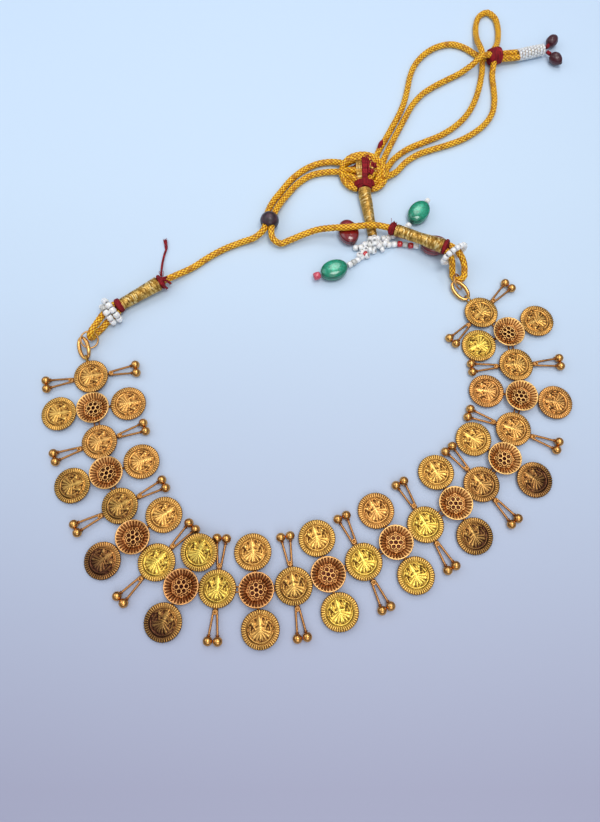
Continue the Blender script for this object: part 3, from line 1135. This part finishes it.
# Knot: the closed turn of cord, the cords over and round it, and the pad of gathered thread inside
TURN_AT, TURN_SIZE = (15.8, 151, 2.5), (8.6, 5.4, 0.5)
KNOT_CORDS = (
    [(7.2, 152.6, 3.2), (9.8, 155, 4.8), (14.4, 156.6, 5.2), (19.6, 155.4, 5.2), (23, 151.6, 4.4), (23.4, 147.6, 3)],
    [(8.2, 154.2, 3.0), (11, 154.6, 4.6), (15, 154.4, 5.6), (19, 152.8, 5.4), (21.4, 149.6, 4.2), (20.6, 146.4, 3)],
    [(6.9, 151.2, 2.4), (10, 150.6, 3.8), (13, 149.8, 4.4), (14.6, 149, 3.4)],
    [(8.0, 149.2, 2.6), (10.4, 147.8, 3.6), (13, 146.6, 3.8), (15, 146.2, 3.0)],
    [(23.6, 152, 3.0), (21, 150.2, 4.4), (18.6, 147.8, 4.6), (17.4, 145.8, 3.4)],
    [(7.4, 150.4, 2.2), (8.2, 147.2, 2.0), (10.4, 144.6, 1.9), (13.2, 143.4, 2.0)],
    [(24.0, 150.0, 2.2), (23.4, 146.8, 2.0), (21.2, 144.2, 1.9), (18.4, 143.2, 2.0)])
PAD_AT, PAD_SIZE = (15.8, 150.6, 1.1), (7.6, 4.6, 2.9)
# Threads: X of the red ones at the top and lower down, X of the gold ones, both ends of the slanting ones
RED_THREADS = ((15.0, 15.2), (15.7, 15.8), (16.4, 16.4))
GOLD_THREADS = (12.6, 13.1, 13.7, 14.3)
SLANTING = ((17.1, 155.6, 17.4, 147.6), (17.9, 155.0, 18.2, 147.0), (19.0, 153.8, 17.6, 149.0),
            (20.2, 152.2, 18.6, 147.6), (16.6, 152.6, 20.4, 150.4), (17.0, 150.6, 20.0, 148.4))
s = Shape()
w = circle(28)
turn = [TURN_AT[0] + TURN_SIZE[0] * np.cos(w), TURN_AT[1] + TURN_SIZE[1] * np.sin(w),
        TURN_AT[2] + TURN_SIZE[2] * np.sin(w + 0.4)]
braided(s, np.stack(turn, 1), True)
for points in KNOT_CORDS:
    braided(s, points)
phi = (np.arange(15) / 14 * pi / 2)[:, None]
a = circle(72)[None, :]
lump = 0.28 * np.sin(a * 9 + 2 * phi) * np.sin(phi * 7) + 0.18 * np.sin(a * 23 + 5 * phi)
x = PAD_AT[0] + (PAD_SIZE[0] + lump) * np.sin(phi) * np.cos(a)
y = PAD_AT[1] + (PAD_SIZE[1] + lump) * np.sin(phi) * np.sin(a)
z = PAD_AT[2] + (PAD_SIZE[2] + lump) * np.cos(phi) + 0 * a
shade = np.clip(0.5 + 0.5 * np.sin(a * 23 + 5 * phi), 0, 1)
s.add(np.stack([x, y, z], -1).reshape(-1, 3), [grid_faces(15, 72)[:, ::-1]], shade=shade.reshape(-1),
      fleck=(0.5 + 0.5 * np.sign(np.sin(a * 17 + 9 * phi))).reshape(-1) * 0.8, mat=1)
for x0, x1 in RED_THREADS:
    points = [(x0, 156.4, 4.8), (x0 + 0.1, 153.6, 6.7), (x1, 150, 6.1), (x1, 146.6, 5.6), (x1, 144.6, 4.6)]
    twist(s, points, 0.46, 12, 1.1, 0.08, mat=1)
for i, x0 in enumerate(GOLD_THREADS):
    top = 155.6 - 0.25 * abs(x0 - 14)
    points = [(x0, top, 5.2), (x0 + 0.15, top - 2.4, 6.0 - 0.05 * i), (x0 + 0.3, 148.6, 5.1),
              (x0 + 0.1 + 0.4 * (15.8 - x0), 145.2, 4.4)]
    twist(s, points, 0.3, 10, 0.7, 0.06, 1, 0.8, 2)
for i, (x0, y0, x1, y1) in enumerate(SLANTING):
    middle = ((x0 + x1) / 2 + 0.4 * sin(i * 2.0), (y0 + y1) / 2, 6.75)
    twist(s, [(x0, y0, 5.9), middle, (x1, y1, 5.8)], 0.42, 10, 0.9, 0.07, 1, 0.7, 1 if i % 3 < 2 else 2)
for i in range(4):
    y = 145.2 - 0.55 * i
    points = [(12.2, y + 0.7, 2.8), (13.2, y + 0.1, 4.6), (15.8, y - 0.2, 5.6), (18.4, y + 0.1, 4.6),
              (19.4, y + 0.7, 2.8)]
    twist(s, points, 0.38, 12, 1.1, 0.08, mat=1)
patch = curve([(21.7, 161.3, 2.1), (22.7, 163.8, 2.2), (23.9, 166.6, 1.9)], 0.15)
tube(s, patch, 0.3 + 0.6 * np.sin(np.linspace(0, pi, len(patch))), 14, pattern=wound(0.6, 0.1, 2), mat=1)
s.make("knot_of_cord", [CORD, RED_THREAD, ZARI], "cord", "cord_knot")

# Tassel stem: its middle line, and its radius at shares of its length
STEM = [(15.8, 142.3, 2.9), (15.8, 141, 2.8), (16.5, 136, 2.5), (17.2, 131, 2.1), (18, 125.4, 1.8),
        (18.3, 122.4, 1.8)]
STEM_SHARES, STEM_RADII = (0, 0.07, 0.32, 0.57, 0.85, 1), (2.3, 2.35, 2.2, 1.95, 1.72, 1.6)
s = Shape()
path = curve(STEM, 0.09)
tube(s, path, np.interp(shares(path), STEM_SHARES, STEM_RADII), 36, pattern=wound(*FINE))
s.make("wound_stem", [ZARI], "zari", "tassel_stem")
s = Shape()
barrel(s, (15.8, 142.6, 2.9), (15.8, 144.2, 2.9), (2.75, 2.9, 2.6), *THICK)
s.make("stem_thread_band", [RED_THREAD], "red_thread", "stem_band")

# Tail: two short cords, the beaded sleeve, and two drops on threads
s = Shape()
braided(s, [(73.4, 208.9, 2.9), (77.5, 209.8, 2.7), (81.6, 210.2, 2.7)])
braided(s, [(73.9, 206.2, 3.1), (77.9, 207, 2.7), (82, 207.6, 2.7)])
s.make("cords_of_tail", [CORD], "cord", "tail_cords")

tail_0, tail_1 = np.array([(81.2, 208.7, 2.7), (92.4, 211.7, 2.7)])
TAIL_ROWS, TAIL_BEADS, TAIL_RADII = 9, 11, (1.85, 1.9, 1.75)
# Middle of each drop, its heading, and the side of the sleeve where its thread starts
DROPS = (((96.6, 216.6, 2.6), 52, 1), ((96.9, 206.8, 2.6), -52, -1))
s = Shape()
axis_t = unit(tail_1 - tail_0)
side_t = unit(np.cross(axis_t, (0, 0, 1)))
up_t = np.cross(side_t, axis_t)
total = float(np.linalg.norm(tail_1 - tail_0))
barrel(s, tail_0, tail_1, (1.65, 1.7, 1.6), 1.2, 0.05, 20, rough=0.2, mat=len(BEADS))
rng = np.random.default_rng(11)
for i in range(TAIL_ROWS):
    f = (i + 0.5) / TAIL_ROWS
    radius = np.interp(f, (0, 0.5, 1), TAIL_RADII)
    for j in range(TAIL_BEADS):
        a = 2 * pi * (j + 0.5 * (i % 2)) / TAIL_BEADS
        out = cos(a) * side_t + sin(a) * up_t
        turn = cos(a) * up_t - sin(a) * side_t
        c = tail_0 + axis_t * f * total + out * radius
        seed_bead(s, c, turn + rng.normal(0, 0.08, 3), 1.15, 0.58, rng.uniform(0.1, 0.9), W, 12, 0.8)
s.make("beaded_tail_sleeve", BEADS + [ZARI], "white_bead", "tail_sleeve")


def drop(p):
    q = p.copy()
    q[:, 1:] *= (1 - 0.14 * q[:, :1]) * (1 + 0.02 * np.cos(8 * np.arctan2(q[:, 2:3], q[:, 1:2])))
    return q


s = Shape()
t = Shape()
for place, heading, sign in DROPS:
    move, toward = at(place, heading), direction(heading)
    ball(s, (0, 0, 0), (2.95, 2.3, 2.3), 40, 24, move=move, bend=drop)
    seed_bead(s, transform([(2.75, 0, 0)], move)[0], toward, 0.8, 0.7, 0.5, 0, 14, 0.3)
    start = tail_1 + vec(1.2, sign * 1.1, 0)
    tube(t, line_path(start, np.array(place) - 3.15 * toward, 0.12), 0.72, 18, pattern=wound(0.5, 0.14))
s.make("maroon_drops", [MAROON], "maroon_bead", "tail_beads")
t.make("tail_thread_wraps", [RED_THREAD], "red_thread", "tail_threads")

# Floor, light and world. The floor's colours run along Y from FLOOR_NEAR to FLOOR_FAR, in metres.
FLOOR_HALF, FLOOR_ROUGH, FLOOR_NEAR, FLOOR_FAR = 1.6, 0.65, -0.06, 0.26
FLOOR_COLOURS = ((0, (0.352, 0.36, 0.48)), (0.5, (0.545, 0.665, 0.802)), (0.65, (0.578, 0.71, 0.852)),
                 (1, (0.61, 0.755, 0.925)))
WORLD_COLOURS = ((0, (0.14, 0.13, 0.16)), (0.3, (0.26, 0.27, 0.33)), (0.6, (0.82, 0.87, 1.0)), (1, (0.88, 0.93, 1.0)))
WORLD_POWER = 0.6
floor_mesh = bpy.data.meshes.new("floor")
e = FLOOR_HALF
floor_mesh.from_pydata([(-e, -e, 0), (e, -e, 0), (e, e, 0), (-e, e, 0)], [], [(0, 1, 2, 3)])
floor = bpy.data.objects.new("floor", floor_mesh)
scene.collection.objects.link(floor)
paper = bpy.data.materials.new("floor_paper")
paper.use_nodes = True
tree = paper.node_tree
span = add_node(tree, "MapRange", {
    0: coordinate(tree, "Object", 1), "From Min": FLOOR_NEAR, "From Max": FLOOR_FAR})
colour = ramp(tree, span.outputs[0], FLOOR_COLOURS)
feed(tree, tree.nodes["Principled BSDF"], {"Base Color": colour, "Roughness": FLOOR_ROUGH})
floor_mesh.materials.append(paper)

world = bpy.data.worlds.new("world")
scene.world = world
world.use_nodes = True
tree = world.node_tree
colour = ramp(tree, coordinate(tree, "Generated", 2), WORLD_COLOURS)
feed(tree, tree.nodes["Background"], {0: colour, 1: WORLD_POWER})


def area(name, place, aim, size, power, colour):
    """A square lamp; place and aim are in millimetres, its size in metres and its power in watts."""
    data = bpy.data.lights.new(name, "AREA")
    data.shape = "SQUARE"
    data.size = size
    data.energy = power
    data.color = colour
    obj = bpy.data.objects.new(name, data)
    obj.location = [c * MM for c in place]
    d = np.array(place, float) - np.array(aim, float)
    obj.rotation_euler = (atan2(hypot(d[0], d[1]), d[2]), 0, atan2(d[0], -d[1]))
    scene.collection.objects.link(obj)


area("key", (80, 60, 520), (0, 100, 0), 0.22, 1.15, (1.0, 0.98, 0.95))
area("back", (50, 440, 520), (10, 120, 0), 0.22, 0.5, (1.0, 0.99, 0.97))
area("fill", (-320, 180, 300), (0, 80, 0), 0.35, 0.4, (0.92, 0.96, 1.0))
area("front", (60, -300, 320), (0, 80, 0), 0.3, 0.4, (0.96, 0.98, 1.0))
scene.view_settings.view_transform = "Standard"
